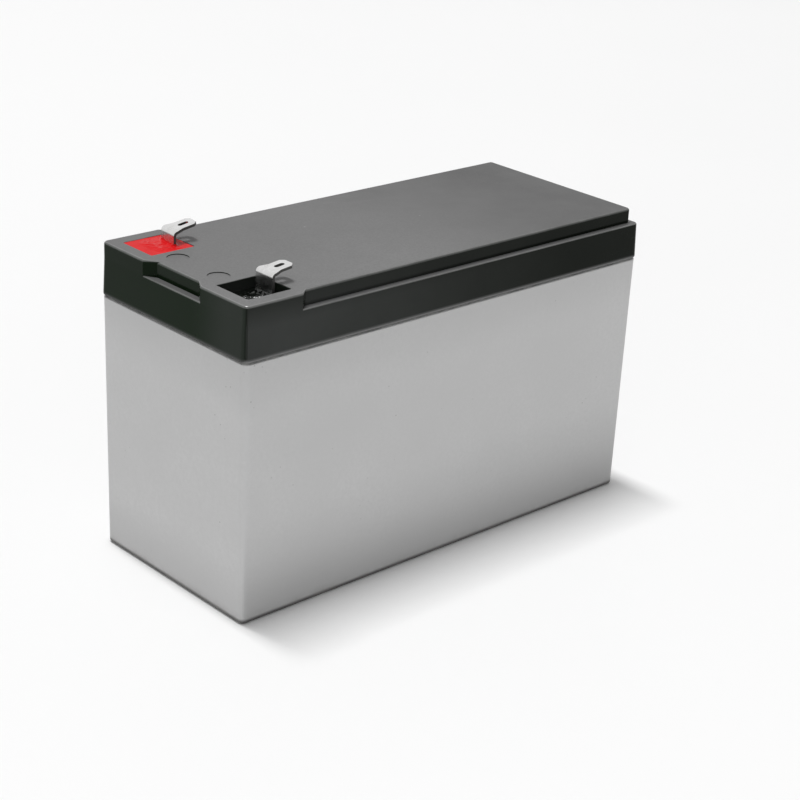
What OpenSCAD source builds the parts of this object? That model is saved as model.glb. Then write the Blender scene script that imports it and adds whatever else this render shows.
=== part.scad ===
// Sealed 12 volt battery for a back-up power supply: six cells in two rows of three.
// The origin is at the middle of the base. +Z is up, and the two tabs stand at the -X end.

/* [Overall] */
// Length over the lower edge of the lid
overall_l = 151; // [146:1:180]
// Width over the lower edge of the lid
overall_w = 65; // [62:1:80]
// Height of the top face above the base, without the tabs
overall_h = 92; // [88:1:110]

/* [Case] */
// How far the rim of the case stands in from the lower edge of the lid, on each side
case_step = 0.1; // [0:0.1:0.4]
// How much each side leans in from the rim down to the base
case_draft = 0.6; // [0.2:0.1:1]
// Radius of the upright corners at the base
case_corner_r = 1.6; // [1.4:0.2:4]
// Radius of the edge round the base
case_foot_r = 1; // [0.4:0.2:1.4]
// Thickness of the outer walls at the rim
case_wall = 3; // [2.8:0.1:3.6]
// Thickness of the floor
case_floor = 2.6; // [2:0.2:4]
// Thickness of the walls between the cells
partition_t = 1.6; // [1.2:0.2:2.4]
// Radius of the upright corners inside a cell
cell_corner_r = 1; // [0.5:0.5:2]
// Diameter of the holes through which the cells are welded to each other
weld_hole_d = 5.6; // [4:0.4:6.4]

/* [Seam] */
// Height of the open seam between the case and the lid
seam_gap = 0.3; // [0.2:0.1:1.2]
// How far the tongue of the case stands in from its rim
tongue_inset = 1.3; // [1:0.1:1.4]
// Height of the tongue above the rim of the case
tongue_h = 3.6; // [2.8:0.2:4]
// Thickness of the adhesive beside the tongue
bond_side = 0.25; // [0.15:0.05:0.4]
// Thickness of the adhesive above the tongue
bond_top = 0.6; // [0.4:0.1:0.8]
// How far the adhesive in the seam stays behind the rim of the case
bond_setback = 0.3; // [0.2:0.1:0.9]

/* [Lid] */
// Height of the lid from its lower edge to its ledge
lid_h = 11.1; // [10:0.1:13]
// How much each side of the lid leans in from its lower edge up to the ledge
lid_draft = 0.4; // [0.2:0.1:0.6]
// Radius of the upright corners at the lower edge of the lid
lid_corner_r = 2; // [1.6:0.2:3.4]
// Radius of the edge round the foot of the lid, over the seam
lid_foot_r = 0.8; // [0.2:0.1:1.2]
// Radius of the edge round the ledge
lid_edge_r = 0.4; // [0.2:0.1:0.6]
// Thickness of the lid's walls inside the adhesive groove
groove_wall = 1; // [0.8:0.1:1.2]
// Depth of the tray below the ledge
tray_depth = 4; // [3.4:0.2:4.6]
// Thickness of the tray's floor
tray_floor_t = 2.2; // [2:0.2:2.6]

/* [Top cover] */
// Height of the cover above the ledge
cover_h = 4.5; // [4:0.1:5.5]
// Width of the ledge that the cover leaves free along its sides
ledge_w = 2; // [1.4:0.2:2.6]
// Thickness of the cover's walls
cover_wall = 1.8; // [1.4:0.2:2.4]
// Thickness of the cover's top
cover_top_t = 1.8; // [1.4:0.1:2.2]
// Radius of the edge round the top face
cover_edge_r = 0.7; // [0.3:0.1:0.9]
// Radius of the cover's upright corners beside the ledge
cover_corner_r = 1; // [0.6:0.2:1.8]
// Length of each terminal block along the side face
block_l = 18.6; // [18:0.2:22]
// Length over which the side ledge runs out at the terminal block
ledge_runout = 2.4; // [1.6:0.2:4]
// Depth of the finger recess at the end face
recess_depth = 2.2; // [1.6:0.2:2.6]
// Distance from the finger recess to the inner side of each pocket
recess_gap = 1.5; // [1:0.1:2.5]
// How much narrower the finger recess is at its back, on each side
recess_taper = 3.6; // [2:0.2:5]
// Diameter of the two round marks beside the terminals
mark_d = 6.2; // [5:0.2:8]
// Depth of the round marks
mark_depth = 0.25; // [0.2:0.05:0.6]
// Distance of the round marks from the end of the ledge face
mark_x = 8.8; // [7:0.2:11]
// Distance between a round mark and the pocket beside it
mark_gap = 2.2; // [1:0.1:3]

/* [Terminal pockets] */
// Length of a pocket along the battery
pocket_l = 14.2; // [13.8:0.2:14.4]
// Width of a pocket
pocket_w = 13.4; // [12.8:0.2:14]
// Distance of a pocket from the end face
pocket_end = 4; // [3.6:0.2:4.4]
// Distance of a pocket from the side face
pocket_side = 4.4; // [3.8:0.2:4.8]
// Radius of the pocket's upright corners
pocket_r = 0.3; // [0.2:0.1:1.5]
// Depth of the red fill below the top face
red_fill_depth = 0.2; // [0.1:0.1:2]
// Depth of the black fill below the top face
black_fill_depth = 3.2; // [1:0.2:3.4]
// Reach of the red resin that is drawn up round its tab
red_climb = 0.5; // [0.2:0.1:1]
// Reach of the black resin that is drawn up round its tab
black_climb = 1.2; // [0.2:0.1:1.4]

/* [Tabs] */
// Thickness of the tab metal
tab_t = 0.8; // [0.6:0.1:1]
// Width of the foot and the riser
tab_base_w = 7; // [6.2:0.2:8]
// Width of the push-on blade
tab_blade_w = 5.3; // [4.6:0.1:6]
// Height of the bend above the top face
tab_rise = 3.8; // [3:0.2:6]
// Length from the riser to the tip, along the blade
tab_l = 8.4; // [8:0.2:10]
// Length of the straight root before the tab narrows
tab_root_l = 1.4; // [1.4:0.1:2]
// Length over which the tab narrows
tab_neck_l = 2.4; // [1.6:0.2:2.6]
// Size of the cut corners at the tip
tab_tip_cut = 1.1; // [0.4:0.1:1.4]
// Inner radius of the bends
tab_bend_r = 0.5; // [0.3:0.1:0.6]
// Length of the slot in the blade
slot_l = 3.2; // [2:0.2:3.4]
// Width of the slot in the blade
slot_w = 1.5; // [1:0.1:1.8]
// Distance of the slot's middle from the tip
slot_from_tip = 3.2; // [2.8:0.1:3.4]
// Upward tilt of the negative blade, in degrees
negative_tilt = 7; // [0:1:10]
// Upward tilt of the positive blade, in degrees
positive_tilt = 12; // [0:1:14]
// Turn of the positive tab round its post, in degrees
positive_turn = 7; // [0:1:8]
// Distance from the post's axis to the riser
tab_foot_reach = 4.6; // [4.2:0.2:5]
// Length of the foot beyond the post's axis
tab_foot_end = 3.4; // [3.2:0.2:3.8]

/* [Terminal posts] */
// Distance of the positive post from the end wall of its pocket
positive_post_end = 5.6; // [5:0.1:6]
// Distance of the positive post from the side wall of its pocket
positive_post_side = 5.9; // [5.6:0.1:7]
// Distance of the negative post from the end wall of its pocket
negative_post_end = 5.9; // [5:0.1:6]
// Distance of the negative post from the side wall of its pocket
negative_post_side = 6.8; // [5.6:0.1:7]
// Diameter of the post
post_d = 6.4; // [5.6:0.2:7]
// Diameter of the spigot that holds the tab
spigot_d = 3.6; // [3:0.2:4]
// Clearance round the spigot in the tab
spigot_clearance = 0.1; // [0.05:0.05:0.2]
// Diameter of the closed head over the tab
head_d = 5; // [4.6:0.2:5.4]
// Height of the closed head
head_h = 0.8; // [0.5:0.1:1]
// Height of the post's shoulder above the tray's floor
shoulder_h = 0.5; // [0.3:0.1:0.8]
// Clearance round the post in the lid
post_clearance = 0.1; // [0.05:0.05:0.3]
// Thickness of the sealing ring
ring_t = 1.6; // [1.2:0.1:1.8]

/* [Valves] */
// Bore of a valve seat
valve_bore_d = 5; // [4:0.5:6]
// Outer diameter of a valve seat
valve_seat_d = 8; // [7.4:0.2:9]
// Wall of the rubber cap
valve_cap_wall = 1.2; // [0.8:0.1:1.5]
// Top thickness of the rubber cap
valve_cap_top = 1.2; // [0.8:0.1:1.5]
// Clearance between the cap and the seat's side
valve_cap_clearance = 0.05; // [0.05:0.05:0.15]
// Room over the cap, below the cover
valve_headroom = 0.4; // [0.3:0.1:0.6]
// Height of the cap's free lower edge above the tray's floor
valve_cap_lift = 1; // [0.6:0.1:1.5]
// How far a valve stands in from the middle of its cell
valve_inset = 2; // [1:0.5:3]
// Least room between a cap and the wall of a well
valve_well_gap = 0.5; // [0.3:0.1:0.8]

/* [Plates] */
// Thickness of a positive plate
positive_plate_t = 2.8; // [2.4:0.1:3]
// Thickness of a negative plate
negative_plate_t = 1.8; // [1.5:0.1:2]
// Least thickness of a glass mat
mat_least_t = 0.9; // [0.8:0.05:1.2]
// Clearance between the plate stack and the cell's walls
stack_clearance = 0.2; // [0.1:0.1:0.4]
// Clearance between the plates' ends and the cell's walls
plate_end_clearance = 1; // [0.8:0.1:1.6]
// How far the glass mats stand out past the plates
mat_margin = 0.5; // [0.3:0.1:0.7]
// Width of a plate's lug
lug_w = 6; // [5:0.5:7]
// Height of a plate's lug
lug_h = 3; // [2.4:0.2:3.6]
// Distance of a lug from the end of its plate
lug_inset = 2; // [0.5:0.5:2.5]

/* [Lead straps] */
// Thickness of a cast strap
strap_t = 3.2; // [2.6:0.2:3.6]
// Width of a cast strap
strap_w = 8; // [7:0.5:9]
// Thickness of the upright that is welded through the wall
upright_t = 2.4; // [2:0.2:3]
// Width of the upright
upright_w = 10; // [8.4:0.4:12]
// Height of the upright above its strap
upright_h = 6; // [5.6:0.2:6.4]
// Room between the uprights and the lower edge of the lid
upright_headroom = 1.6; // [1:0.2:3]
// Metal left over the weld in the upright
weld_margin = 0.2; // [0.1:0.1:0.4]
// Distance of the welds from the middle of a cell, along the stack
weld_offset = 0; // [-3:1:3]

/* [Hidden] */

// Smoothness of round shapes
round_fn = 64;
// How far a cut runs past the face that it opens
past = 1;
// How far a weld runs into the pieces that it joins
weld_bite = 0.05;
// Steps in a bend of the tab metal
bend_steps = 8;
// Steps in a rounded edge
edge_steps = 4;

// Heights, from the base up
case_h = overall_h - cover_h - lid_h - seam_gap;
lid_z = case_h + seam_gap;
tongue_z = case_h + tongue_h;
groove_z = tongue_z + bond_top;
ledge_z = lid_z + lid_h;
tray_z = ledge_z - tray_depth;
roof_z = tray_z - tray_floor_t;
cover_roof_z = overall_h - cover_top_t;

// Plan sizes, as half lengths from the middle
rim_x = overall_l / 2 - case_step;
rim_y = overall_w / 2 - case_step;
tongue_x = rim_x - tongue_inset;
tongue_y = rim_y - tongue_inset;
inner_x = rim_x - case_wall;
inner_y = rim_y - case_wall;
ledge_x = overall_l / 2 - lid_draft;
ledge_y = overall_w / 2 - lid_draft;
cover_x = ledge_x - (ledge_w + recess_depth) / 2;
cover_y = ledge_y - ledge_w;
cover_mid_x = (recess_depth - ledge_w) / 2;
tray_x = cover_x - cover_wall;
tray_y = cover_y - cover_wall;
block_x = -ledge_x + block_l;
ledge_corner_r = lid_corner_r - lid_draft;
rim_corner_r = case_corner_r + case_draft;

// Cells: three along the length, two across the width
cells_along = 3;
cells_across = 2;
cell_l = (2 * inner_x - (cells_along - 1) * partition_t) / cells_along;
cell_w = (2 * inner_y - partition_t) / cells_across;
cell_pitch_x = cell_l + partition_t;
cell_pitch_y = cell_w + partition_t;

// Plate stack of one cell
stack_w = cell_w - 2 * stack_clearance;
positive_count = floor((stack_w - negative_plate_t) / (positive_plate_t + negative_plate_t + 2 * mat_least_t));
negative_count = positive_count + 1;
mat_count = 2 * positive_count;
plate_sum = positive_count * positive_plate_t + negative_count * negative_plate_t;
mat_t = (stack_w - plate_sum) / mat_count;
plate_l = cell_l - 2 * plate_end_clearance;
plate_pitch = positive_plate_t + negative_plate_t + 2 * mat_t;
upright_top_z = lid_z - upright_headroom;
weld_z = upright_top_z - weld_margin - weld_hole_d / 2;
strap_z = upright_top_z - upright_h - strap_t;
lug_z = strap_z - lug_h;
plate_z = case_floor + mat_margin;
plate_h = lug_z - plate_z;
strap_x = plate_l / 2 - lug_inset - lug_w / 2;
strap_span = stack_w - 2 * stack_clearance;

// Terminals
pocket_x = -ledge_x + pocket_end + pocket_l / 2;
pocket_y = ledge_y - pocket_side - pocket_w / 2;
pocket_inner_y = pocket_y - pocket_w / 2;
recess_w = 2 * (pocket_inner_y - recess_gap);
mark_y = pocket_inner_y - mark_gap - mark_d / 2;
foot_z = tray_z + shoulder_h;
bend_z = overall_h + tab_rise;

// Valves: over their cells, and clear of the wells
valve_seat_z = cover_roof_z - valve_headroom - valve_cap_top;
valve_cap_inner_d = valve_seat_d + 2 * valve_cap_clearance;
valve_cap_d = valve_cap_inner_d + 2 * valve_cap_wall;
valve_least_x = pocket_x + pocket_l / 2 + cover_wall + valve_well_gap + valve_cap_d / 2;

// Quarter round from the underside to the upright side of an edge, as steps of an arc
function edge_low(r, e) = [
    for (i = [0:edge_steps]) [r - e + e * sin(90 * i / edge_steps), e - e * cos(90 * i / edge_steps)]
];

// Quarter round from the upright side to the top of an edge
function edge_high(r, e, h) = [
    for (i = [0:edge_steps]) [r - e + e * cos(90 * i / edge_steps), h - e + e * sin(90 * i / edge_steps)]
];

// Half outline of a leaning side: r0 and r1 are its reach at the bottom and the top
function side_outline(r0, r1, h, e0, e1) = concat(
    [[0, 0]],
    e0 > 0 ? edge_low(r0, e0) : [[r0, 0]],
    e1 > 0 ? edge_high(r1, e1, h) : [[r1, h]],
    [[0, h]]
);

// The same outline mirrored about a wall that reaches half a width from the middle
function wall_outline(half, side) = concat(
    [for (p = side) if (p[0] > 0) [half + p[0], p[1]]],
    [for (i = [len(side) - 1:-1:0]) if (side[i][0] > 0) [-half - side[i][0], side[i][1]]]
);

// Box with leaning sides and round upright corners whose axes are upright.
// x and y are half sizes at the bottom, r is the corner radius there, grow is added on each side at the top.
module leaning_box(x, y, h, r, grow, foot_r, top_r) {
    side = side_outline(r, r + grow, h, foot_r, top_r);
    rotate([90, 0, 0])
        linear_extrude(height = 2 * (y - r), center = true)
            polygon(wall_outline(x - r, side));
    rotate([90, 0, 90])
        linear_extrude(height = 2 * (x - r), center = true)
            polygon(wall_outline(y - r, side));
    for (sx = [-1, 1])
        for (sy = [-1, 1])
            translate([sx * (x - r), sy * (y - r), 0])
                rotate_extrude($fn = round_fn)
                    polygon(side);
}

// Rectangle with round corners, centred
module round_rect(l, w, r) {
    square([l - 2 * r, w], center = true);
    square([l, w - 2 * r], center = true);
    for (sx = [-1, 1])
        for (sy = [-1, 1])
            translate([sx * (l / 2 - r), sy * (w / 2 - r)])
                circle(r = r, $fn = round_fn);
}

// Cell number from 1 to 6, in the order in which the current passes them: its place along and across
function cell_column(n) = n <= cells_along ? n - 1 : 2 * cells_along - n;
function cell_side(n) = n <= cells_along ? 1 : -1;
function cell_x(n) = (cell_column(n) - (cells_along - 1) / 2) * cell_pitch_x;
function cell_y(n) = cell_side(n) * cell_pitch_y / 2;

// End of the cell at which its positive plates carry their lugs: -1 towards -X, 1 towards +X
function positive_end(n) = n <= cells_along ? -1 : 1;
function negative_end(n) = -positive_end(n);

// Plan of all six cells, each side moved out by grow
module cells_plan(grow) {
    for (n = [1:cells_along * cells_across])
        translate([cell_x(n), cell_y(n)])
            round_rect(cell_l + 2 * grow, cell_w + 2 * grow, cell_corner_r);
}

// Plan of the tongue: the rim loop and the walls between the cells, with adhesive room on each side
module tongue_plan(room) {
    difference() {
        round_rect(2 * (tongue_x + room), 2 * (tongue_y + room), rim_corner_r - tongue_inset + room);
        cells_plan(-room);
    }
}

// Round hole through the wall between two cells that follow each other, for the weld
module weld_hole(n, d, length) {
    translate([weld_x(n), weld_y(n), weld_z])
        rotate(cell_column(n) == cell_column(n + 1) ? [90, 0, 0] : [0, 90, 0])
            cylinder(h = length, d = d, center = true, $fn = round_fn);
}
function weld_x(n) = cell_column(n) == cell_column(n + 1)
    ? cell_x(n) + negative_end(n) * strap_x
    : (cell_x(n) + cell_x(n + 1)) / 2;
function weld_y(n) = cell_column(n) == cell_column(n + 1)
    ? 0
    : cell_y(n) + cell_side(n) * weld_offset;

// Grey case, open at the top, with the walls between the cells
module container() {
    color([0.7, 0.71, 0.7])
        difference() {
            union() {
                leaning_box(rim_x - case_draft, rim_y - case_draft, case_h, case_corner_r, case_draft,
                    case_foot_r, 0);
                linear_extrude(height = tongue_z)
                    round_rect(2 * tongue_x, 2 * tongue_y, rim_corner_r - tongue_inset);
            }
            translate([0, 0, case_floor])
                linear_extrude(height = tongue_z)
                    cells_plan(0);
            for (n = [1:cells_along * cells_across - 1])
                weld_hole(n, weld_hole_d, partition_t + past);
        }
}

// Place of one of the two terminals: side is 1 for the positive and -1 for the negative
module at_pocket(side) {
    translate([pocket_x, side * pocket_y, 0])
        children();
}
module at_post(side) {
    from_end = side > 0 ? positive_post_end : negative_post_end;
    from_side = side > 0 ? positive_post_side : negative_post_side;
    translate([pocket_x - pocket_l / 2 + from_end, side * (pocket_y + pocket_w / 2 - from_side), 0])
        children();
}

// Plan of the space between the tray's walls, without the two wells
module tray_plan() {
    difference() {
        translate([cover_mid_x, 0])
            square([2 * tray_x, 2 * tray_y], center = true);
        for (side = [-1, 1])
            at_pocket(side)
                round_rect(pocket_l + 2 * cover_wall, pocket_w + 2 * cover_wall, pocket_r + cover_wall);
    }
}

// Place of valve n over its cell
module at_valve(n) {
    translate([max(cell_x(n), valve_least_x), cell_y(n) - cell_side(n) * valve_inset, 0])
        children();
}

// Black lid with its tray, wells, valve seats and the groove for the case
module lid() {
    color([0.1, 0.1, 0.1])
        difference() {
            union() {
                difference() {
                    translate([0, 0, lid_z])
                        leaning_box(overall_l / 2, overall_w / 2, lid_h, lid_corner_r, -lid_draft, lid_foot_r, 0);
                    ledge_edge_cuts();
                    translate([0, 0, tray_z])
                        linear_extrude(height = tray_depth + past)
                            tray_plan();
                }
                for (n = [1:cells_along * cells_across])
                    at_valve(n)
                        translate([0, 0, roof_z])
                            cylinder(h = valve_seat_z - roof_z, d = valve_seat_d, $fn = round_fn);
            }
            for (n = [1:cells_along * cells_across])
                at_valve(n)
                    translate([0, 0, roof_z - past])
                        cylinder(h = valve_seat_z - roof_z + 2 * past, d = valve_bore_d, $fn = round_fn);
            for (side = [-1, 1]) {
                at_pocket(side)
                    translate([0, 0, tray_z])
                        linear_extrude(height = tray_depth + past)
                            round_rect(pocket_l, pocket_w, pocket_r);
                at_post(side)
                    translate([0, 0, roof_z - past])
                        cylinder(h = tray_floor_t + 2 * past, d = post_d + 2 * post_clearance, $fn = round_fn);
                at_post(side)
                    translate([0, 0, tray_z - ring_t])
                        cylinder(h = ring_t + past, d = post_d + 2 * ring_t, $fn = round_fn);
            }
            translate([0, 0, lid_z - past])
                linear_extrude(height = roof_z - lid_z + past)
                    cells_plan(-bond_side - groove_wall);
            translate([0, 0, lid_z - past])
                linear_extrude(height = groove_z - lid_z + past)
                    tongue_plan(bond_side);
        }
}

// Section of a cut that rounds an edge: the solid lies below and to the left of the origin
module edge_section(e) {
    difference() {
        translate([-e, -e])
            square(e + past);
        translate([-e, -e])
            circle(r = e, $fn = round_fn);
    }
}

// Cut along the straight top edge from point a to point b, with the solid on the right
module edge_cut(a, b, e) {
    translate([a[0], a[1], 0])
        rotate([0, 0, atan2(b[1] - a[1], b[0] - a[0])])
            rotate([90, 0, 90])
                linear_extrude(height = norm(b - a))
                    edge_section(e);
}

// Cut round the top edge of a corner with its axis at point c, towards the side of sx and sy
module corner_cut(c, r, e, sx, sy) {
    translate([c[0], c[1], 0])
        intersection() {
            rotate_extrude($fn = round_fn)
                translate([r, 0])
                    edge_section(e);
            translate([min(0, sx * (r + 2 * past)), min(0, sy * (r + 2 * past)), -e - past])
                cube([r + 2 * past, r + 2 * past, e + 3 * past]);
        }
}

// Cuts that round the free edge of the ledge, from one terminal block to the other
module ledge_edge_cuts() {
    straight_x = ledge_x - ledge_corner_r;
    straight_y = ledge_y - ledge_corner_r;
    translate([0, 0, ledge_z]) {
        edge_cut([block_x, ledge_y], [straight_x, ledge_y], lid_edge_r);
        edge_cut([straight_x, -ledge_y], [block_x, -ledge_y], lid_edge_r);
        edge_cut([ledge_x, straight_y], [ledge_x, -straight_y], lid_edge_r);
        edge_cut([-ledge_x, -recess_w / 2], [-ledge_x, recess_w / 2], lid_edge_r);
        for (sy = [-1, 1])
            corner_cut([straight_x, sy * straight_y], ledge_corner_r, lid_edge_r, 1, sy);
    }
}

// Corners of the block round the positive terminal, clockwise from the finger recess.
// Both slanted edges run on as far again inside the cover, so that their round edges meet its own.
block_recess = [-ledge_x, recess_w / 2];
block_recess_in = block_recess + 2 * [recess_depth, -recess_taper];
block_side = [block_x, ledge_y];
block_side_in = block_side + 2 * [ledge_runout, -ledge_w];
block_end_tangent = [-ledge_x, ledge_y - ledge_corner_r];
block_side_tangent = [-ledge_x + ledge_corner_r, ledge_y];
block_corner = [-ledge_x + ledge_corner_r, ledge_y - ledge_corner_r];

// Block round the positive terminal, flush with the lid's end and side
module terminal_block() {
    difference() {
        linear_extrude(height = cover_h) {
            polygon([
                block_recess, block_end_tangent, block_side_tangent, block_side, block_side_in,
                [block_side_in[0], block_recess_in[1]], block_recess_in
            ]);
            translate(block_corner)
                circle(r = ledge_corner_r, $fn = round_fn);
        }
        translate([0, 0, cover_h]) {
            edge_cut(block_recess_in, block_recess, cover_edge_r);
            edge_cut(block_recess, block_end_tangent, cover_edge_r);
            corner_cut(block_corner, ledge_corner_r, cover_edge_r, -1, 1);
            edge_cut(block_side_tangent, block_side, cover_edge_r);
            edge_cut(block_side, block_side_in, cover_edge_r);
        }
    }
}

// Outer body of the cover: a plate with a ledge round it and a block at each terminal
module cover_body() {
    translate([cover_mid_x, 0, ledge_z])
        leaning_box(cover_x, cover_y, cover_h, cover_corner_r, 0, 0, cover_edge_r);
    translate([0, 0, ledge_z]) {
        terminal_block();
        mirror([0, 1, 0])
            terminal_block();
    }
}

// Black cover over the valves, with the windows of the two terminals
module top_cover() {
    color([0.16, 0.16, 0.16])
        difference() {
            cover_body();
            translate([0, 0, ledge_z - past])
                linear_extrude(height = cover_roof_z - ledge_z + past)
                    tray_plan();
            for (side = [-1, 1]) {
                at_pocket(side)
                    translate([0, 0, ledge_z - past])
                        linear_extrude(height = cover_h + 2 * past)
                            round_rect(pocket_l, pocket_w, pocket_r);
                translate([-ledge_x + mark_x, side * mark_y, overall_h - mark_depth])
                    cylinder(h = mark_depth + past, d = mark_d, $fn = round_fn);
            }
        }
}

// Adhesive in the groove and the seam
module lid_bond() {
    color([0.42, 0.43, 0.42]) {
        difference() {
            union() {
                translate([0, 0, lid_z])
                    linear_extrude(height = groove_z - lid_z)
                        tongue_plan(bond_side);
                translate([0, 0, case_h])
                    linear_extrude(height = seam_gap)
                        difference() {
                            round_rect(2 * (rim_x - bond_setback), 2 * (rim_y - bond_setback),
                                rim_corner_r - bond_setback);
                            cells_plan(-bond_side);
                        }
            }
            linear_extrude(height = tongue_z)
                tongue_plan(0);
        }
    }
}

// Rubber cap over a valve seat
module valve_cap(n) {
    skirt_z = tray_z + valve_cap_lift;
    color([0.08, 0.08, 0.08])
        at_valve(n)
            difference() {
                translate([0, 0, skirt_z])
                    cylinder(h = valve_seat_z + valve_cap_top - skirt_z, d = valve_cap_d, $fn = round_fn);
                translate([0, 0, skirt_z - past])
                    cylinder(h = valve_seat_z - skirt_z + past, d = valve_cap_inner_d, $fn = round_fn);
            }
}

// Points of an arc round a centre, from one angle to another
function arc(center, r, from, to) = [
    for (i = [0:bend_steps])
        center + r * [cos(from + (to - from) * i / bend_steps), sin(from + (to - from) * i / bend_steps)]
];

// Outline of the bent strip from the side: foot, riser and blade, with the post's axis at x = 0.
// The foot lies on z = 0 and the blade rises towards +X by the tilt.
function strip_outline(tilt) =
    let (
        outer = tab_bend_r + tab_t,
        low = [tab_foot_reach - tab_bend_r, outer],
        high = [tab_foot_reach + outer, bend_z - foot_z - outer],
        along = (tab_l - outer) * [cos(tilt), sin(tilt)],
        up = [-sin(tilt), cos(tilt)]
    )
    concat(
        [[-tab_foot_end, 0]],
        arc(low, outer, -90, 0),
        arc(high, tab_bend_r, 180, 90 + tilt),
        [high + tab_bend_r * up + along, high + outer * up + along],
        arc(high, outer, 90 + tilt, 180),
        arc(low, tab_bend_r, 0, -90),
        [[-tab_foot_end, tab_t]]
    );

// Bent strip of even width
module tab_strip(tilt) {
    rotate([90, 0, 0])
        linear_extrude(height = tab_base_w, center = true)
            polygon(strip_outline(tilt));
}

// What is cut away beside the blade and in its slot: x runs from the riser's face to the tip
module blade_cut() {
    neck_end = tab_root_l + tab_neck_l;
    slot_x = tab_l - slot_from_tip;
    for (s = [0, 1])
        mirror([0, s])
            polygon([
                [tab_root_l, tab_base_w / 2],
                [neck_end, tab_blade_w / 2],
                [tab_l - tab_tip_cut, tab_blade_w / 2],
                [tab_l, tab_blade_w / 2 - tab_tip_cut],
                [tab_l + past, tab_blade_w / 2 - tab_tip_cut],
                [tab_l + past, tab_base_w / 2 + past],
                [tab_root_l, tab_base_w / 2 + past]
            ]);
    translate([slot_x, 0])
        square([slot_l - slot_w, slot_w], center = true);
    for (s = [-1, 1])
        translate([slot_x + s * (slot_l - slot_w) / 2, 0])
            circle(d = slot_w, $fn = round_fn);
}

// Tinned tab, drawn with the post's axis as its origin and its foot on z = 0
module tab(tilt) {
    outer = tab_bend_r + tab_t;
    difference() {
        tab_strip(tilt);
        translate([0, 0, -past])
            cylinder(h = tab_t + 2 * past, d = spigot_d + 2 * spigot_clearance, $fn = round_fn);
        translate([tab_foot_reach + outer, 0, bend_z - foot_z - outer])
            rotate([0, -tilt, 0])
                translate([-outer, 0, tab_bend_r - past / 2])
                    linear_extrude(height = tab_t + past)
                        blade_cut();
    }
}

module positive_tab() {
    color([0.82, 0.82, 0.84])
        at_post(1)
            translate([0, 0, foot_z])
                rotate([0, 0, -positive_turn])
                    tab(positive_tilt);
}

module negative_tab() {
    color([0.82, 0.82, 0.84])
        at_post(-1)
            translate([0, 0, foot_z])
                tab(negative_tilt);
}

// Space that a tab and its post take up inside the fill
module fill_core() {
    translate([0, 0, tray_z - past])
        cylinder(h = shoulder_h + past, d = post_d, $fn = round_fn);
    translate([0, 0, foot_z])
        cylinder(h = tab_t + head_h, d = head_d, $fn = round_fn);
}

// Resin drawn up round the riser of a tab to the height r above z = 0, in two slopes
module resin_collar(r) {
    face = tab_t / 2;
    side = [[face + 1.6 * r, -past], [face + 1.6 * r, -0.35 * r], [face + 0.4 * r, 0.35 * r], [face + 0.15 * r, r]];
    far = [for (i = [len(side) - 1:-1:0]) [-side[i][0], side[i][1]]];
    translate([tab_foot_reach + face, 0, 0]) {
        rotate([90, 0, 0])
            linear_extrude(height = tab_base_w - tab_t, center = true)
                polygon(concat(side, far));
        for (s = [-1, 1])
            translate([0, s * (tab_base_w - tab_t) / 2, 0])
                rotate_extrude($fn = round_fn)
                    polygon(concat([[0, -past]], side, [[0, r]]));
    }
}

// Coloured resin in a pocket, round the tab and the post
module fill_body(side, depth, climb, turn, tilt) {
    difference() {
        union() {
            at_pocket(side)
                translate([0, 0, tray_z])
                    linear_extrude(height = overall_h - depth - tray_z)
                        round_rect(pocket_l, pocket_w, pocket_r);
            at_post(side)
                translate([0, 0, overall_h - depth])
                    rotate([0, 0, turn])
                        resin_collar(climb);
        }
        at_post(side)
            fill_core();
        at_post(side)
            translate([0, 0, foot_z])
                rotate([0, 0, turn])
                    tab_strip(tilt);
    }
}

module positive_fill() {
    color([0.85, 0.08, 0.07])
        fill_body(1, red_fill_depth, red_climb, -positive_turn, positive_tilt);
}

module negative_fill() {
    color([0.03, 0.03, 0.03])
        fill_body(-1, black_fill_depth, black_climb, 0, negative_tilt);
}

// Rubber ring round a post, in the well's floor
module post_seal(side) {
    color([0.08, 0.08, 0.08])
        at_post(side)
            translate([0, 0, tray_z - ring_t / 2])
                rotate_extrude($fn = round_fn)
                    translate([post_d / 2 + ring_t / 2, 0])
                        circle(d = ring_t, $fn = round_fn);
}

// Cast strap over the lugs at one end of cell n
module strap(n, end) {
    translate([cell_x(n) + end * strap_x, cell_y(n), strap_z + strap_t / 2])
        cube([strap_w, strap_span, strap_t], center = true);
}

// Upright against the wall to the next cell along the length, and its root on the strap
module upright_along(n, end, weld) {
    wall_x = cell_x(n) + end * cell_l / 2;
    root_x = cell_x(n) + end * strap_x;
    low_y = weld_y(weld) - upright_w / 2;
    translate([min(wall_x, wall_x - end * upright_t), low_y, strap_z])
        cube([upright_t, upright_w, strap_t + upright_h]);
    translate([min(wall_x, root_x), low_y, strap_z])
        cube([abs(wall_x - root_x), upright_w, strap_t]);
}

// Upright against the long wall in the middle, and its root on the strap
module upright_across(n, end) {
    side = cell_side(n);
    wall_y = side * partition_t / 2;
    low_x = cell_x(n) + end * strap_x - upright_w / 2;
    translate([low_x, min(wall_y, wall_y + side * upright_t), strap_z])
        cube([upright_w, upright_t, strap_t + upright_h]);
    translate([low_x, min(wall_y, wall_y + side * upright_w / 2), strap_z])
        cube([upright_w, upright_w / 2, strap_t]);
}

// Two cast straps, welded to each other through the wall between cells n and n + 1
module cell_link(n) {
    color([0.5, 0.52, 0.54]) {
        strap(n, negative_end(n));
        strap(n + 1, positive_end(n + 1));
        if (cell_column(n) == cell_column(n + 1)) {
            upright_across(n, negative_end(n));
            upright_across(n + 1, positive_end(n + 1));
        } else {
            upright_along(n, negative_end(n), n);
            upright_along(n + 1, positive_end(n + 1), n);
        }
        weld_hole(n, weld_hole_d, partition_t + 2 * weld_bite);
    }
}

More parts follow.
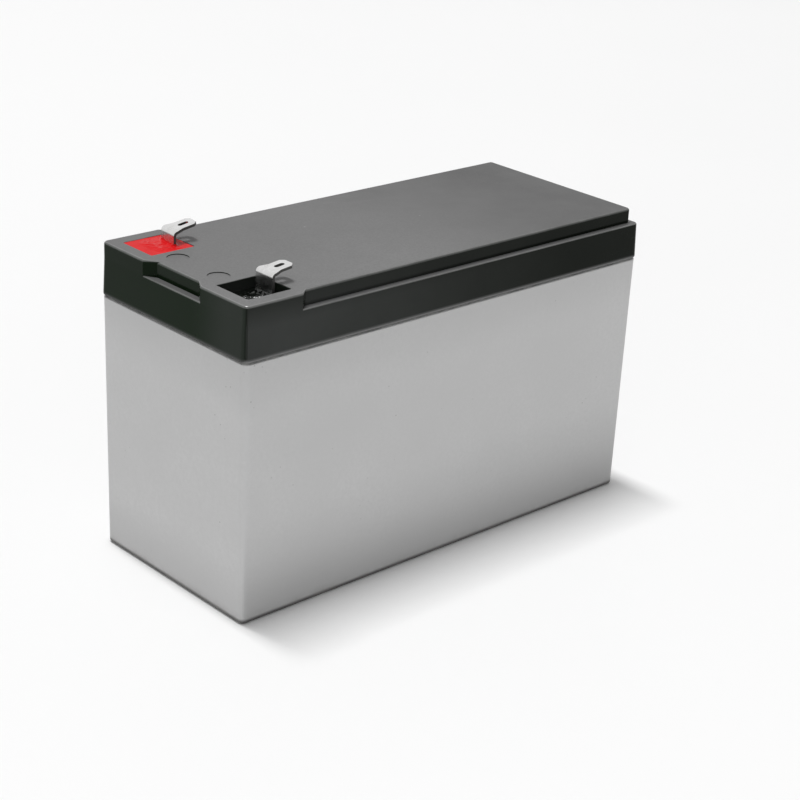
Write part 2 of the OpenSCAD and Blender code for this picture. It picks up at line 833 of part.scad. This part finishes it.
// Cast strap and post of one terminal, with the spigot and the head that hold the tab
module terminal_post(side) {
    n = side > 0 ? 1 : cells_along * cells_across;
    end = side > 0 ? positive_end(n) : negative_end(n);
    color([0.5, 0.52, 0.54]) {
        strap(n, end);
        at_post(side) {
            translate([0, 0, strap_z])
                cylinder(h = foot_z - strap_z, d = post_d, $fn = round_fn);
            translate([0, 0, foot_z])
                cylinder(h = tab_t, d = spigot_d, $fn = round_fn);
            translate([0, 0, foot_z + tab_t])
                cylinder(h = head_h, d = head_d, $fn = round_fn);
        }
    }
}

// One plate with its lug at one end of its top edge
module plate(t, end) {
    translate([-plate_l / 2, -t / 2, plate_z])
        cube([plate_l, t, plate_h]);
    translate([end * strap_x - lug_w / 2, -t / 2, lug_z - past])
        cube([lug_w, t, lug_h + past]);
}

// Plates of one polarity in cell n, each a solid of its own
module positive_plates(n) {
    color([0.35, 0.25, 0.2])
        for (i = [0:positive_count - 1])
            translate([cell_x(n), cell_y(n) + (i - (positive_count - 1) / 2) * plate_pitch, 0])
                plate(positive_plate_t, positive_end(n));
}

module negative_plates(n) {
    color([0.45, 0.46, 0.48])
        for (i = [0:negative_count - 1])
            translate([cell_x(n), cell_y(n) + (i - (negative_count - 1) / 2) * plate_pitch, 0])
                plate(negative_plate_t, negative_end(n));
}

// Glass mats between the plates of cell n
module separators(n) {
    mat_l = plate_l + 2 * mat_margin;
    color([0.93, 0.93, 0.9])
        for (i = [0:positive_count - 1])
            for (s = [-1, 1])
                translate([
                    cell_x(n) - mat_l / 2,
                    cell_y(n) + (i - (positive_count - 1) / 2) * plate_pitch
                        + s * (positive_plate_t + mat_t) / 2 - mat_t / 2,
                    case_floor
                ])
                    cube([mat_l, mat_t, plate_h + 2 * mat_margin]);
}

container();
lid();
top_cover();
lid_bond();
valve_cap(1);  // valve_cap_1
valve_cap(2);  // valve_cap_2
valve_cap(3);  // valve_cap_3
valve_cap(4);  // valve_cap_4
valve_cap(5);  // valve_cap_5
valve_cap(6);  // valve_cap_6
positive_tab();
negative_tab();
positive_fill();
negative_fill();
terminal_post(1);  // positive_post
terminal_post(-1);  // negative_post
post_seal(1);  // positive_seal
post_seal(-1);  // negative_seal
cell_link(1);  // cell_link_1_2
cell_link(2);  // cell_link_2_3
cell_link(3);  // cell_link_3_4
cell_link(4);  // cell_link_4_5
cell_link(5);  // cell_link_5_6
positive_plates(1);  // cell_1_positive_plates
negative_plates(1);  // cell_1_negative_plates
separators(1);  // cell_1_separators
positive_plates(2);  // cell_2_positive_plates
negative_plates(2);  // cell_2_negative_plates
separators(2);  // cell_2_separators
positive_plates(3);  // cell_3_positive_plates
negative_plates(3);  // cell_3_negative_plates
separators(3);  // cell_3_separators
positive_plates(4);  // cell_4_positive_plates
negative_plates(4);  // cell_4_negative_plates
separators(4);  // cell_4_separators
positive_plates(5);  // cell_5_positive_plates
negative_plates(5);  // cell_5_negative_plates
separators(5);  // cell_5_separators
positive_plates(6);  // cell_6_positive_plates
negative_plates(6);  // cell_6_negative_plates
separators(6);  // cell_6_separators
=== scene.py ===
import math
import bmesh
import bpy
from mathutils import Matrix, Vector


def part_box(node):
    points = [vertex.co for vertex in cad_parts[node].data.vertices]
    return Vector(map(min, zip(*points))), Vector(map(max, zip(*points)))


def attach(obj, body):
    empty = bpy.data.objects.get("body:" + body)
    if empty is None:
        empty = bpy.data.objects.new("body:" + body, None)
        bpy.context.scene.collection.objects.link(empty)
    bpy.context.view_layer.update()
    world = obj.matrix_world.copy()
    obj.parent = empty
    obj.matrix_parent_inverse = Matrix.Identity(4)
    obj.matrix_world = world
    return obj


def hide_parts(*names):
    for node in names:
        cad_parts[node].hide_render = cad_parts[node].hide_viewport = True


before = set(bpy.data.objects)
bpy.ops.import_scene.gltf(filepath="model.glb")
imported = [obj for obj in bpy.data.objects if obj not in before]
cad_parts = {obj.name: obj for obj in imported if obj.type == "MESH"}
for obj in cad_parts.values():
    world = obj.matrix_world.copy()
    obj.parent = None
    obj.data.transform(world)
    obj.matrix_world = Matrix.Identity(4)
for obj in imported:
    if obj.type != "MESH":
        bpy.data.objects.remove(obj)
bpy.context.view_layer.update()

# Places in metres that the finishes follow. What lies at +Y has its twin at -Y
lid_foot_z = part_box("lid")[0][2]
seam_z = 0.077
ledge_z = 0.088
tab_foot_x = -0.0635
tab_foot_y = 0.0209

# Cover: its round marks, its pocket windows, and the radii of its top edges
mark_x = -0.0663
mark_y = 0.0090
mark_reach = 0.0033
window_low, window_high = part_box("negative_fill")
window_margin = 0.0004
block_edge_r = 0.0007
block_edge_steps = 6
window_edge_r = 0.0003
window_edge_steps = 4


# Colours and shader nodes

def srgb(r, g, b):
    """A colour as a screen shows it, each part from 0 to 255."""
    def one(c):
        c = c / 255.0
        return c / 12.92 if c <= 0.04045 else ((c + 0.055) / 1.055) ** 2.4
    return (one(r), one(g), one(b), 1.0)


def grey(level):
    return srgb(level, level, level)


def linear(r, g, b):
    """A colour as the shader counts it, each part from 0 to 1."""
    return (r, g, b, 1.0)


class Mat:
    """One material, with short calls that add and join its nodes."""

    def __init__(self, name):
        self.mat = bpy.data.materials.new(name)
        self.mat.use_nodes = True
        self.tree = self.mat.node_tree
        self.tree.nodes.clear()
        out = self.add("OutputMaterial")
        self.bsdf = self.add("BsdfPrincipled")
        self.put(out, "Surface", self.bsdf.outputs[0])
        self.coord = self.add("TexCoord").outputs["Object"]
        self.normal = None

    def add(self, kind, **inputs):
        node = self.tree.nodes.new("ShaderNode" + kind)
        for key, value in inputs.items():
            self.put(node, key.replace("_", " "), value)
        return node

    def put(self, node, key, value):
        """Links a socket to a node's input, or sets the input to a number or colour."""
        if isinstance(value, bpy.types.NodeSocket):
            self.tree.links.new(value, node.inputs[key])
        else:
            node.inputs[key].default_value = value

    def mapped(self, stretch=(1, 1, 1), offset=(0, 0, 0)):
        return self.add("Mapping", Vector=self.coord, Scale=stretch, Location=offset).outputs[0]

    def noise(self, scale, detail=3.0, rough=0.55, distortion=0.0, stretch=(1, 1, 1), offset=(0, 0, 0)):
        node = self.add("TexNoise", Vector=self.mapped(stretch, offset), Scale=scale, Detail=detail,
                        Roughness=rough, Distortion=distortion)
        return node.outputs["Fac"]

    def cells(self, scale, offset=(0, 0, 0)):
        """Distance to the nearest of many scattered points."""
        return self.add("TexVoronoi", Vector=self.mapped(offset=offset), Scale=scale).outputs["Distance"]

    def span(self, value, start, end, low=0.0, high=1.0, smooth=False):
        """Goes from low to high as the value goes from start to end, and no further."""
        node = self.add("MapRange", Value=value, From_Min=start, From_Max=end, To_Min=low, To_Max=high)
        node.interpolation_type = "SMOOTHSTEP" if smooth else "LINEAR"
        return node.outputs["Result"]

    def spread(self, noise, low=0.0, high=1.0):
        """Most of a noise lies between 0.3 and 0.7, and this stretches it from low to high."""
        return self.span(noise, 0.3, 0.7, low, high)

    def rise(self, value, start, end, most=1.0):
        """Rises smoothly from 0 to most as the value goes from start to end."""
        return self.span(value, start, end, 0.0, most, smooth=True)

    def fade(self, value, start, end, most=1.0):
        """Falls smoothly from most to 0 as the value goes from start to end."""
        return self.span(value, start, end, most, 0.0, smooth=True)

    def specks(self, scale, offset, dot, patches):
        """Round dots in the patches alone. A dot is full up to dot's first radius and ends at its second."""
        return self.times(self.span(self.cells(scale, offset), *dot, 1.0, 0.0), patches)

    def math(self, operation, a, b=0.0):
        node = self.add("Math")
        node.operation = operation
        self.put(node, 0, a)
        self.put(node, 1, b)
        return node.outputs[0]

    def times(self, first, *others):
        for other in others:
            first = self.math("MULTIPLY", first, other)
        return first

    def mix(self, share, a, b):
        """A share of colour b over colour a. A Mix node's inputs 6 and 7 are its colours."""
        node = self.add("Mix")
        node.data_type = "RGBA"
        self.put(node, 0, share)
        self.put(node, 6, a)
        self.put(node, 7, b)
        return node.outputs[2]

    def blend(self, share, a, b):
        """A share of number b over number a. A Mix node's inputs 2 and 3 are its numbers."""
        node = self.add("Mix")
        node.data_type = "FLOAT"
        self.put(node, 0, share)
        self.put(node, 2, a)
        self.put(node, 3, b)
        return node.outputs[0]

    def place(self):
        """The point on the object, as X, Y and Z in metres."""
        return self.add("SeparateXYZ", Vector=self.coord).outputs

    def facing(self):
        """The surface's own direction, as X, Y and Z."""
        normal = self.add("NewGeometry").outputs["True Normal"]
        return self.add("SeparateXYZ", Vector=normal).outputs

    def on_low_side(self, direction):
        """1 on faces that look towards -X or -Y, by that part of their direction."""
        return self.span(direction, -0.7, -0.9)

    def round_edges(self, radius):
        """Shades sharp edges as round. It comes before the bumps."""
        node = self.add("Bevel", Radius=radius)
        node.samples = 6
        self.normal = node.outputs["Normal"]

    def bump(self, height, strength, distance):
        """Lays a bump over those that came before it."""
        node = self.add("Bump", Height=height, Strength=strength, Distance=distance)
        if self.normal is not None:
            self.put(node, "Normal", self.normal)
        self.normal = node.outputs["Normal"]

    def finish(self, color, rough, **sockets):
        """Joins the finish to the shader. The other sockets are plain numbers."""
        self.put(self.bsdf, "Base Color", color)
        self.put(self.bsdf, "Roughness", rough)
        for key, value in sockets.items():
            self.put(self.bsdf, key.replace("_", " "), value)
        if self.normal is not None:
            self.put(self.bsdf, "Normal", self.normal)
        return self.mat


# Case: light grey moulded ABS, satin, with a faint mottle, fine grain and a few specks

def case_material():
    m = Mat("case_grey_abs")
    m.round_edges(0.0006)
    z = m.place()[2]
    front = m.on_low_side(m.facing()[1])
    mottle = m.noise(26.0, 4.0, 0.6)
    fine = m.noise(900.0, 3.0, 0.6)
    base = m.mix(m.span(mottle, 0.35, 0.68), grey(196), grey(202))
    base = m.mix(m.spread(fine), base, grey(195))
    # moulding flow marks, faint and long
    flow = m.noise(7.0, 2.0, 0.5, 0.6, stretch=(1.0, 1.0, 5.0), offset=(3, 1, 0))
    base = m.mix(m.rise(flow, 0.5, 0.75, 0.28), base, srgb(187, 188, 188))
    # painted shade: a little darker up under the lid
    base = m.mix(m.rise(z, 0.060, seam_z, 0.4), base, grey(176))
    # tiny specks
    patches = m.span(m.noise(60.0, 1.0, 0.5, offset=(5, 2, 1)), 0.58, 0.66)
    specks = m.specks(420.0, (0.3, 0.1, 0.7), (0.06, 0.1), patches)
    base = m.mix(m.times(specks, 0.5), base, srgb(105, 104, 101))
    # painted shade: darker towards the foot, more so on the long front side, with a painted contact shadow
    # on the rounded bottom edge
    base = m.mix(m.fade(z, 0.003, 0.020, 0.8), base, grey(182))
    base = m.mix(m.times(front, m.fade(z, 0.004, 0.034, 0.4)), base, grey(150))
    base = m.mix(m.fade(z, 0.0008, 0.0019, 0.92), base, srgb(56, 56, 55))
    # dust and scuffs gather there too
    scuffs = m.times(m.fade(z, 0.0, 0.004), m.span(m.noise(180.0, 4.0, 0.7), 0.4, 0.65))
    base = m.mix(m.times(scuffs, 0.45), base, srgb(120, 118, 114))
    rough = m.spread(m.noise(48.0, 4.0, 0.6, offset=(1, 4, 2)), 0.34, 0.46)
    # fine grain, then the wall's slight waves
    m.bump(m.noise(1500.0, 2.0, 0.6), strength=0.18, distance=0.00004)
    m.bump(m.noise(34.0, 2.0, 0.5), strength=0.10, distance=0.0004)
    return m.finish(base, rough, Specular_IOR_Level=0.42)


# Lid and cover: glossy black ABS on the sides, finely textured and satin on the upper faces, which are
# painted grey as a painted sheen

def glossy_black(m, cloud, nz):
    """Colour of the lid's and the cover's upright faces, with painted reflections and a painted highlight on
    the lowest edge.
    """
    x, y, z = m.place()
    nx, ny = m.facing()[:2]
    black = m.mix(m.span(cloud, 0.35, 0.65), linear(0.0032, 0.0052, 0.0030), linear(0.0056, 0.0076, 0.0050))
    # painted reflection: faces that lean a little are painted lighter, as they catch more of the room
    leaning = m.span(m.math("ABSOLUTE", nz), 0.06, 0.3)
    black = m.mix(leaning, black, linear(0.010, 0.013, 0.009))
    # painted reflection: the long side is painted paler towards the terminals
    front = m.on_low_side(ny)
    painted_reflection = m.times(front, m.fade(x, -0.075, 0.06), m.span(z, 0.085, 0.092, 1.0, 0.35),
                   m.spread(cloud, 0.75, 1.0))
    # the end face is painted a green black, a painted reflection, with the same painted reflection near the
    # front corner
    end = m.on_low_side(nx)
    black = m.mix(m.times(end, m.spread(cloud, 0.6, 1.0)), black, linear(0.0010, 0.0095, 0.0006))
    painted_reflection = m.math("MAXIMUM", painted_reflection, m.times(end, m.rise(y, -0.008, -0.026, 0.42)))
    black = m.mix(painted_reflection, black, linear(0.046, 0.049, 0.047))
    # painted highlight: the lid's lowest edge over the seam is painted pale, paler on the end face
    pale_edge_highlight = m.mix(end, linear(0.22, 0.22, 0.22), linear(0.09, 0.09, 0.09))
    return m.mix(m.rise(z, lid_foot_z + 0.0015, lid_foot_z), black, pale_edge_highlight)


def upper_sheen_and_wear(m, cloud, grain):
    """Colour of the lid's and the cover's upper faces: a painted sheen that greys the black plastic, with
    real grain, dust and wear.
    """
    x, y, z = m.place()
    # painted light: paler along the front and at the terminal end, darker towards the far end
    satin = m.mix(m.span(y, -0.033, 0.03), grey(121), grey(110))
    satin = m.mix(m.rise(x, -0.02, 0.060, 0.85), satin, grey(76))
    satin = m.mix(m.spread(cloud, 0.0, 0.3), satin, grey(118))
    satin = m.mix(m.spread(grain, 0.0, 0.5), satin, grey(98))
    # small scuffs and dust
    patches = m.span(m.noise(45.0, 1.0, 0.5, offset=(9, 3, 1)), 0.6, 0.7)
    dust = m.specks(260.0, (0.7, 0.2, 0.4), (0.05, 0.11), patches)
    satin = m.mix(m.times(dust, 0.45), satin, srgb(170, 170, 168))
    rub = m.noise(16.0, 5.0, 0.75, 0.8, stretch=(1.0, 3.5, 1.0), offset=(2, 7, 0))
    satin = m.mix(m.rise(rub, 0.62, 0.74, 0.25), satin, grey(124))
    # the ledges are darker
    return m.mix(m.span(z, ledge_z, ledge_z + 0.0005, 0.85, 0.0), satin, grey(92))


def lid_material(name):
    m = Mat(name)
    nz = m.facing()[2]
    upper = m.span(nz, 0.55, 0.97)
    cloud = m.noise(30.0, 4.0, 0.6)
    grain = m.noise(1700.0, 2.0, 0.7)
    base = m.mix(upper, glossy_black(m, cloud, nz), upper_sheen_and_wear(m, cloud, grain))
    # the rounded upper edges are polished
    rounded = m.times(m.span(nz, 0.1, 0.3), m.span(nz, 0.93, 0.985, 1.0, 0.0))
    polish = m.times(rounded, m.spread(m.noise(90.0, 4.0, 0.7), 0.6, 1.0))
    m.put(m.bsdf, "Coat Weight", polish)
    glossy = m.spread(m.noise(40.0, 4.0, 0.6, offset=(4, 4, 4)), 0.12, 0.18)
    dull = m.spread(m.noise(70.0, 4.0, 0.6, offset=(6, 1, 4)), 0.40, 0.48)
    # the upper faces' grain, then the walls' slight waves
    m.bump(m.times(grain, upper), strength=0.4, distance=0.00006)
    m.bump(m.noise(45.0, 2.0, 0.5, stretch=(1.0, 1.0, 0.5)), strength=0.08, distance=0.0004)
    return m.finish(base, m.blend(upper, glossy, dull), Specular_IOR_Level=0.07, Coat_Roughness=0.28,
                    Coat_IOR=2.0)


# Adhesive in the seam: grey, cured, a little uneven

def bond_material():
    m = Mat("seam_adhesive")
    run = m.noise(240.0, 4.0, 0.65, 0.3, stretch=(1.0, 1.0, 0.4))
    base = m.mix(m.spread(run), srgb(96, 97, 96), srgb(150, 150, 148))
    m.bump(run, strength=0.5, distance=0.0002)
    return m.finish(base, m.spread(run, 0.35, 0.6), Specular_IOR_Level=0.4)


# Tabs: bright tinned strip with fine rolling lines and dull patches

def tab_material():
    m = Mat("tinned_strip")
    rolled = m.noise(420.0, 3.0, 0.6, stretch=(0.12, 3.0, 1.0))
    patch = m.noise(200.0, 3.0, 0.55, 0.6, offset=(2, 2, 5))
    base = m.mix(m.span(patch, 0.35, 0.7), linear(0.72, 0.72, 0.72), linear(0.58, 0.575, 0.565))
    base = m.mix(m.span(rolled, 0.45, 0.8, 0.0, 0.35), base, linear(0.8, 0.8, 0.8))
    # the sheared edges and the slot's walls are dull, and painted dark as painted shade and a painted dark
    # reflection
    side_walls_painted_dark = m.rise(m.math("ABSOLUTE", m.facing()[1]), 0.6, 0.8)
    base = m.mix(m.times(side_walls_painted_dark, 0.92), base, linear(0.035, 0.034, 0.032))
    rough = m.blend(side_walls_painted_dark, m.span(patch, 0.3, 0.72, 0.18, 0.3), 0.5)
    m.bump(rolled, strength=0.10, distance=0.00004)
    m.bump(patch, strength=0.06, distance=0.0001)
    return m.finish(base, rough, Metallic=1.0)


# Resin in the pockets: poured, gently waved, and set in lumps round the tab's foot

def resin_material(name, low, high, rough, wave, lumps, gloss):
    m = Mat(name)
    cloud = m.noise(170.0, 3.0, 0.55, 0.4, offset=(1, 8, 3))
    base = m.mix(m.span(cloud, 0.35, 0.68), low, high)
    m.bump(m.noise(130.0, 2.0, 0.5, 0.3, offset=(3, 3, 1)), wave, distance=0.0006)
    m.bump(m.noise(900.0, 2.0, 0.5), strength=0.06, distance=0.00005)
    x, y = m.place()[:2]
    from_foot_x = m.math("ABSOLUTE", m.math("SUBTRACT", x, tab_foot_x))
    from_foot_y = m.math("ABSOLUTE", m.math("SUBTRACT", m.math("ABSOLUTE", y), tab_foot_y))
    near = m.times(m.fade(from_foot_x, 0.0015, 0.0050), m.fade(from_foot_y, 0.0034, 0.0060))
    lump = m.times(m.noise(430.0, 0.6, 0.5, 0.8, offset=(2, 5, 1)), near)
    m.bump(lump, lumps, distance=0.0016)
    return m.finish(base, m.spread(cloud, *rough), Specular_IOR_Level=gloss)


# Pieces inside the case

def rubber_material():
    m = Mat("black_rubber")
    cloud = m.noise(300.0, 4.0, 0.6)
    base = m.mix(m.spread(cloud), linear(0.016, 0.016, 0.016), linear(0.03, 0.029, 0.028))
    m.bump(m.noise(1400.0, 3.0, 0.6), strength=0.3, distance=0.00006)
    return m.finish(base, m.spread(cloud, 0.5, 0.68), Specular_IOR_Level=0.4)


def lead_material():
    m = Mat("cast_lead")
    cloud = m.noise(220.0, 4.0, 0.65, 0.5)
    base = m.mix(m.span(cloud, 0.3, 0.72), linear(0.16, 0.17, 0.185), linear(0.33, 0.34, 0.36))
    m.bump(cloud, strength=0.35, distance=0.0002)
    m.bump(m.noise(1300.0, 3.0, 0.6), strength=0.2, distance=0.00005)
    return m.finish(base, m.spread(cloud, 0.38, 0.6), Metallic=0.85)


def plate_material(name, low, high):
    m = Mat(name)
    cloud = m.noise(380.0, 5.0, 0.7, 0.2)
    base = m.mix(m.spread(cloud), low, high)
    m.bump(m.span(m.cells(1500.0), 0.0, 0.5), strength=0.4, distance=0.0001)
    m.bump(cloud, strength=0.4, distance=0.0002)
    return m.finish(base, m.spread(cloud, 0.7, 0.9), Specular_IOR_Level=0.2)


def mat_material():
    m = Mat("glass_fibre_mat")
    fibre = m.noise(900.0, 5.0, 0.75, 1.6, stretch=(1.0, 0.35, 1.0))
    base = m.mix(m.spread(fibre), srgb(216, 216, 210), srgb(240, 240, 236))
    m.bump(fibre, strength=0.5, distance=0.0001)
    return m.finish(base, m.spread(fibre, 0.8, 0.95), Specular_IOR_Level=0.2)


looks = {
    "container": case_material(),
    "lid": lid_material("lid_black_abs"),
    "top_cover": lid_material("cover_black_abs"),
    "lid_bond": bond_material(),
    "tab": tab_material(),
    "positive_fill": resin_material("red_resin", linear(0.62, 0.010, 0.012), linear(0.68, 0.016, 0.019),
                                    rough=(0.16, 0.26), wave=0.3, lumps=0.4, gloss=0.02),
    "negative_fill": resin_material("black_resin", linear(0.004, 0.005, 0.004), linear(0.008, 0.009, 0.008),
                                    rough=(0.04, 0.08), wave=0.5, lumps=1.0, gloss=0.5),
    "rubber": rubber_material(),
    "lead": lead_material(),
    "positive_plates": plate_material("lead_dioxide_plate", linear(0.05, 0.022, 0.014),
                                      linear(0.11, 0.052, 0.034)),
    "negative_plates": plate_material("sponge_lead_plate", linear(0.14, 0.145, 0.155),
                                      linear(0.24, 0.245, 0.26)),
    "separators": mat_material(),
}


def look_of(node):
    if node in looks:
        return looks[node]
    if node.endswith("_tab"):
        return looks["tab"]
    if node.startswith("valve_cap") or node.endswith("_seal"):
        return looks["rubber"]
    if node.endswith("_post") or node.startswith("cell_link"):
        return looks["lead"]
    for kind in ("positive_plates", "negative_plates", "separators"):
        if node.endswith(kind):
            return looks[kind]
    raise ValueError(node)


for node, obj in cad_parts.items():
    for slot in obj.material_slots:
        slot.material = look_of(node)


# Cover with the round top edges of its two terminal blocks and their pocket windows

def on_window(p):
    """True near either pocket's window. The two mirror each other about the battery's middle."""
    return (window_low[0] - window_margin < p.x < window_high[0] + window_margin
            and -window_high[1] - window_margin < abs(p.y) < -window_low[1] + window_margin)


def on_mark(p):
    """True near either round mark."""
    return math.hypot(p.x - mark_x, abs(p.y) - mark_y) < mark_reach


def round_top_edges(bm, radius, segments, wanted):
    """Rounds each sharp edge of the cover's top whose middle is wanted."""
    top = max(v.co.z for v in bm.verts)
    sharp = []
    for e in bm.edges:
        if len(e.link_faces) != 2 or any(v.co.z < top - 1e-6 for v in e.verts):
            continue
        side, upper = sorted(f.normal.z for f in e.link_faces)
        middle = (e.verts[0].co + e.verts[1].co) / 2
        if abs(side) < 0.01 and upper > 0.999 and wanted(middle):
            sharp.append(e)
    bmesh.ops.bevel(bm, geom=sharp, offset=radius, offset_type="OFFSET", segments=segments, profile=0.5,
                    affect="EDGES", clamp_overlap=False)


def put_in_order(bm):
    """Gives the faces and edges one order, because Blender's own changes from run to run."""
    bm.verts.index_update()
    count = len(bm.verts)

    def rank(element):
        return sum(i * count ** k for k, i in enumerate(sorted(v.index for v in element.verts)))

    bm.faces.sort(key=rank)
    bm.edges.sort(key=rank)


def cover_mesh():
    """The CAD cover's mesh with its top edges rounded."""
    bm = bmesh.new()
    bm.from_mesh(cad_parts["top_cover"].data)
    bmesh.ops.remove_doubles(bm, verts=bm.verts, dist=1e-6)
    bmesh.ops.dissolve_limit(bm, angle_limit=math.radians(0.2), verts=bm.verts, edges=bm.edges)
    round_top_edges(bm, block_edge_r, block_edge_steps, lambda p: not on_window(p) and not on_mark(p))
    round_top_edges(bm, window_edge_r, window_edge_steps, on_window)
    bmesh.ops.triangulate(bm, faces=bm.faces)
    put_in_order(bm)
    for e in bm.edges:
        e.smooth = e.calc_face_angle(math.pi) < math.radians(20)
    for f in bm.faces:
        f.smooth = True
    mesh = bpy.data.meshes.new("cover_shell")
    bm.to_mesh(mesh)
    bm.free()
    # the CAD mesh's own normals don't fit the new edges
    if "custom_normal" in mesh.attributes:
        mesh.attributes.remove(mesh.attributes["custom_normal"])
    return mesh


def make_cover():
    mesh = cover_mesh()
    mesh.materials.clear()
    mesh.materials.append(looks["top_cover"])
    obj = bpy.data.objects.new("cover_shell", mesh)
    bpy.context.scene.collection.objects.link(obj)
    obj.matrix_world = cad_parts["top_cover"].matrix_world
    # flat faces stay flat beside their round edges
    even = obj.modifiers.new("flat_faces", "WEIGHTED_NORMAL")
    even.mode = "FACE_AREA"
    even.weight = 100
    even.keep_sharp = True
    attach(obj, "root")
    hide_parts("top_cover")


# Floor, light and camera

def floor_material():
    m = Mat("pale_floor")
    cloud = m.noise(1.6, 3.0, 0.5)
    base = m.mix(m.spread(cloud), grey(243), grey(246))
    return m.finish(base, m.spread(cloud, 0.55, 0.62), Specular_IOR_Level=0.25)


def make_floor():
    half = 9.0
    corners = [(-half, -half, 0), (half, -half, 0), (half, half, 0), (-half, half, 0)]
    mesh = bpy.data.meshes.new("floor")
    mesh.from_pydata(corners, [], [(0, 1, 2, 3)])
    mesh.materials.append(floor_material())
    obj = bpy.data.objects.new("floor", mesh)
    bpy.context.scene.collection.objects.link(obj)


def area_light(name, place, target, size, power):
    data = bpy.data.lights.new(name, "AREA")
    data.shape = "RECTANGLE"
    data.size, data.size_y = size
    data.energy = power
    obj = bpy.data.objects.new(name, data)
    obj.location = place
    way = Vector(target) - Vector(place)
    obj.rotation_euler = way.to_track_quat("-Z", "Y").to_euler()
    bpy.context.scene.collection.objects.link(obj)


def make_room():
    """A room that lights softly, and is white where the camera, gloss or metal sees it."""
    soft, white = 0.42, 0.96
    world = bpy.data.worlds.new("soft_room")
    world.use_nodes = True
    tree = world.node_tree
    tree.nodes.clear()
    out = tree.nodes.new("ShaderNodeOutputWorld")
    sky = tree.nodes.new("ShaderNodeBackground")
    sky.inputs["Color"].default_value = grey(255)
    path = tree.nodes.new("ShaderNodeLightPath")
    seen = tree.nodes.new("ShaderNodeMath")
    seen.operation = "MAXIMUM"
    tree.links.new(path.outputs["Is Camera Ray"], seen.inputs[0])
    tree.links.new(path.outputs["Is Glossy Ray"], seen.inputs[1])
    strength = tree.nodes.new("ShaderNodeMath")
    strength.operation = "MULTIPLY_ADD"
    tree.links.new(seen.outputs[0], strength.inputs[0])
    strength.inputs[1].default_value = white - soft
    strength.inputs[2].default_value = soft
    tree.links.new(strength.outputs[0], sky.inputs["Strength"])
    tree.links.new(sky.outputs[0], out.inputs[0])
    bpy.context.scene.world = world


def make_light():
    make_room()
    area_light("overhead", place=(-0.14, 0.56, 4.0), target=(-0.14, 0.0, 0.05), size=(0.35, 1.15),
               power=103.0)
    area_light("low_front", place=(-0.80, -0.80, 0.26), target=(0, 0, 0.05), size=(0.8, 0.4), power=1.5)


def make_camera():
    """The photo's camera, solved from the battery's edges in its frame of 800 pixels."""
    frame_px, focal_px, centre_x_px, centre_y_px = 800.0, 1903.87, 434.79, 395.68
    azimuth, elevation, roll = math.radians(44.34), math.radians(22.75), math.radians(3.26)
    target = Vector((0, 0, 0.047))
    # from the target to the camera: along the view's right, its up, and back
    off_right, off_up, distance = 0.01692, -0.0081, 0.56604
    back = Vector((-math.sin(azimuth) * math.cos(elevation), -math.cos(azimuth) * math.cos(elevation),
                   math.sin(elevation)))
    level_right = (-back).cross(Vector((0, 0, 1))).normalized()
    level_up = level_right.cross(-back)
    right = level_right * math.cos(roll) + level_up * math.sin(roll)
    up = level_up * math.cos(roll) - level_right * math.sin(roll)
    data = bpy.data.cameras.new("photo_view")
    data.sensor_fit = "HORIZONTAL"
    data.sensor_width = 36.0
    data.lens = focal_px / frame_px * data.sensor_width
    data.shift_x = -(centre_x_px - frame_px / 2) / frame_px
    data.shift_y = (centre_y_px - frame_px / 2) / frame_px
    data.clip_start = 0.01
    data.clip_end = 50.0
    obj = bpy.data.objects.new("photo_view", data)
    place = target + back * distance + right * off_right + up * off_up
    turn = Matrix((right, up, back)).transposed().to_4x4()
    obj.matrix_world = Matrix.Translation(place) @ turn
    bpy.context.scene.collection.objects.link(obj)
    bpy.context.scene.camera = obj


make_cover()
make_floor()
make_light()
make_camera()
bpy.context.scene.view_settings.view_transform = "Standard"
